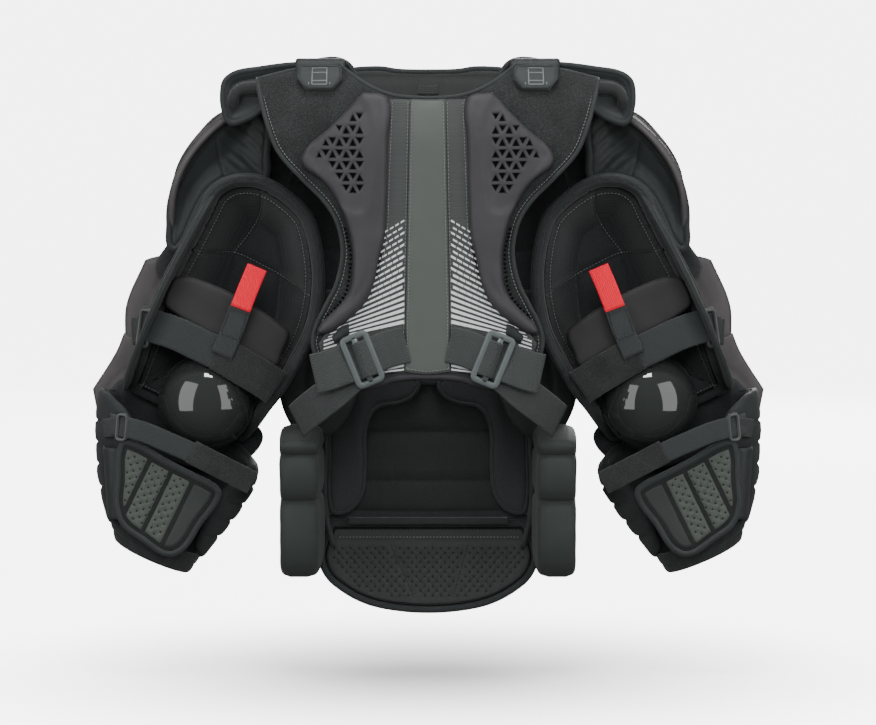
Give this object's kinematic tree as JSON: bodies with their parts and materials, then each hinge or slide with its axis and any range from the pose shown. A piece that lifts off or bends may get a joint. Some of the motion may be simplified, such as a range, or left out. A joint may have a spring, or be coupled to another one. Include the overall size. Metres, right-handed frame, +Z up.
{
  "type": "ice hockey goalie chest and arm protector",
  "caption": "Goalie chest-and-arm protector seen as worn: hourglass back panel, belly and rib pads, padded arm channels with elbow cups, straps and wrist flaps.",
  "frame": {"origin": "on the wearer's shoulder line, mid-plane, at the height of the undersides of the shoulder yokes", "axes": "+X to the wearer's right, +Y to the wearer's front, +Z up"},
  "size_m": [0.872, 0.2922, 0.712],
  "materials": {
    "loop_fabric": "brushed loop pile",
    "moulded_foam": "matt moulded foam",
    "wing_foam": "matt moulded foam",
    "spine_fabric": "smooth coated fabric",
    "webbing": "woven webbing",
    "buckle_plastic": "satin moulded plastic",
    "liner_fabric": "soft knitted liner",
    "nylon_fabric": "smooth woven nylon",
    "red_webbing": "woven webbing",
    "elastic": "woven elastic",
    "gloss_shell": "polished moulded plastic",
    "cap_cover": "coated fabric over plastic",
    "rib_cover": "thermoformed coated fabric",
    "mesh_fabric": "perforated mesh fabric"
  },
  "bodies": {
    "chest": {"chest_plate": "nylon_fabric", "collar_pad": "mesh_fabric", "chest_block_right": "moulded_foam", "chest_block_left": "moulded_foam", "shoulder_yoke_right": "nylon_fabric", "shoulder_yoke_left": "nylon_fabric"},
    "back_plate": {"back_panel": "loop_fabric", "spine_panel": "spine_fabric", "back_moulding_right": "moulded_foam", "back_moulding_left": "moulded_foam", "shoulder_tab_right": "webbing", "shoulder_tab_left": "webbing", "strap_buckle_right": "buckle_plastic", "strap_buckle_left": "buckle_plastic", "waist_strap_right": "webbing", "waist_strap_left": "webbing"},
    "belly": {"belly_liner": "liner_fabric", "belly_front_pad": "nylon_fabric", "belly_side_pad_right": "liner_fabric", "belly_side_pad_left": "liner_fabric"},
    "belly_flap": {"belly_extension": "mesh_fabric"},
    "rib_wing_right": {"rib_block_upper_right": "rib_cover", "rib_block_middle_right": "rib_cover", "rib_block_lower_right": "rib_cover"},
    "shoulder_right": {"deltoid_flap_right": "nylon_fabric", "shoulder_cap_right": "cap_cover"},
    "upper_arm_right": {"arm_liner_right": "liner_fabric", "arm_outer_wall_right": "liner_fabric", "arm_inner_wall_right": "liner_fabric", "biceps_wing_right": "wing_foam", "elbow_wing_right": "wing_foam", "strap_pad_right": "moulded_foam", "upper_strap_right": "elastic", "pull_tab_right": "red_webbing"},
    "elbow_right": {"elbow_cup_right": "gloss_shell"},
    "forearm_right": {"forearm_shell_right": "mesh_fabric", "forearm_outer_wall_right": "mesh_fabric", "lower_strap_right": "elastic", "wrist_cuff_right": "elastic"},
    "wrist_flap_right": {"wrist_flap_right": "mesh_fabric"},
    "rib_wing_left": {"rib_block_upper_left": "rib_cover", "rib_block_middle_left": "rib_cover", "rib_block_lower_left": "rib_cover"},
    "shoulder_left": {"deltoid_flap_left": "nylon_fabric", "shoulder_cap_left": "cap_cover"},
    "upper_arm_left": {"arm_liner_left": "liner_fabric", "arm_outer_wall_left": "liner_fabric", "arm_inner_wall_left": "liner_fabric", "biceps_wing_left": "wing_foam", "elbow_wing_left": "wing_foam", "strap_pad_left": "moulded_foam", "upper_strap_left": "elastic", "pull_tab_left": "red_webbing"},
    "elbow_left": {"elbow_cup_left": "gloss_shell"},
    "forearm_left": {"forearm_shell_left": "mesh_fabric", "forearm_outer_wall_left": "mesh_fabric", "lower_strap_left": "elastic", "wrist_cuff_left": "elastic"},
    "wrist_flap_left": {"wrist_flap_left": "mesh_fabric"}
  },
  "joints": [
    {"name": "back_hinge", "type": "hinge", "parent": "chest", "child": "back_plate", "pos_m": [0, -0.058, 0.036], "axis": [-1, 0, 0], "range_deg": [0, 110]},
    {"name": "belly_hinge", "type": "hinge", "parent": "chest", "child": "belly", "pos_m": [0, 0.112, -0.292], "axis": [1, 0, 0], "range_deg": [0, 30]},
    {"name": "extension_hinge", "type": "hinge", "parent": "belly", "child": "belly_flap", "pos_m": [0, 0.112, -0.556], "axis": [1, 0, 0], "range_deg": [0, 35]},
    {"name": "shoulder_raise_right", "type": "hinge", "parent": "chest", "child": "upper_arm_right", "pos_m": [0.263, 0, -0.024], "axis": [0, -1, 0], "range_deg": [0, 40]},
    {"name": "shoulder_cap_lift_right", "type": "hinge", "parent": "chest", "child": "shoulder_right", "pos_m": [0.263, 0, -0.024], "axis": [0, -1, 0], "range_deg": [0, 44]},
    {"name": "elbow_bend_right", "type": "hinge", "parent": "upper_arm_right", "child": "forearm_right", "pos_m": [0.295, 0.08, -0.428], "axis": [0.9063, 0, 0.4226], "range_deg": [0, 60]},
    {"name": "elbow_cup_follow_right", "type": "hinge", "parent": "upper_arm_right", "child": "elbow_right", "pos_m": [0.295, 0.08, -0.428], "axis": [0.9063, 0, 0.4226], "range_deg": [0, 30]},
    {"name": "wrist_flap_open_right", "type": "hinge", "parent": "forearm_right", "child": "wrist_flap_right", "pos_m": [0.402, -0.052, -0.49], "axis": [0, 0, 1], "range_deg": [0, 100]},
    {"name": "rib_wing_open_right", "type": "hinge", "parent": "belly", "child": "rib_wing_right", "pos_m": [0.132, 0.106, -0.52], "axis": [0, 0, 1], "range_deg": [0, 12]},
    {"name": "shoulder_raise_left", "type": "hinge", "parent": "chest", "child": "upper_arm_left", "pos_m": [-0.263, 0, -0.024], "axis": [0, 1, 0], "range_deg": [0, 40]},
    {"name": "shoulder_cap_lift_left", "type": "hinge", "parent": "chest", "child": "shoulder_left", "pos_m": [-0.263, 0, -0.024], "axis": [0, 1, 0], "range_deg": [0, 44]},
    {"name": "elbow_bend_left", "type": "hinge", "parent": "upper_arm_left", "child": "forearm_left", "pos_m": [-0.295, 0.08, -0.428], "axis": [0.9063, 0, -0.4226], "range_deg": [0, 60]},
    {"name": "elbow_cup_follow_left", "type": "hinge", "parent": "upper_arm_left", "child": "elbow_left", "pos_m": [-0.295, 0.08, -0.428], "axis": [0.9063, 0, -0.4226], "range_deg": [0, 30]},
    {"name": "wrist_flap_open_left", "type": "hinge", "parent": "forearm_left", "child": "wrist_flap_left", "pos_m": [-0.402, -0.052, -0.49], "axis": [0, 0, -1], "range_deg": [0, 100]},
    {"name": "rib_wing_open_left", "type": "hinge", "parent": "belly", "child": "rib_wing_left", "pos_m": [-0.132, 0.106, -0.52], "axis": [0, 0, -1], "range_deg": [0, 12]}
  ],
  "couplings": [
    {"joint": "shoulder_cap_lift_right", "follows": "shoulder_raise_right", "ratio": 1.1},
    {"joint": "elbow_cup_follow_right", "follows": "elbow_bend_right", "ratio": 0.5},
    {"joint": "shoulder_cap_lift_left", "follows": "shoulder_raise_left", "ratio": 1.1},
    {"joint": "elbow_cup_follow_left", "follows": "elbow_bend_left", "ratio": 0.5}
  ]
}
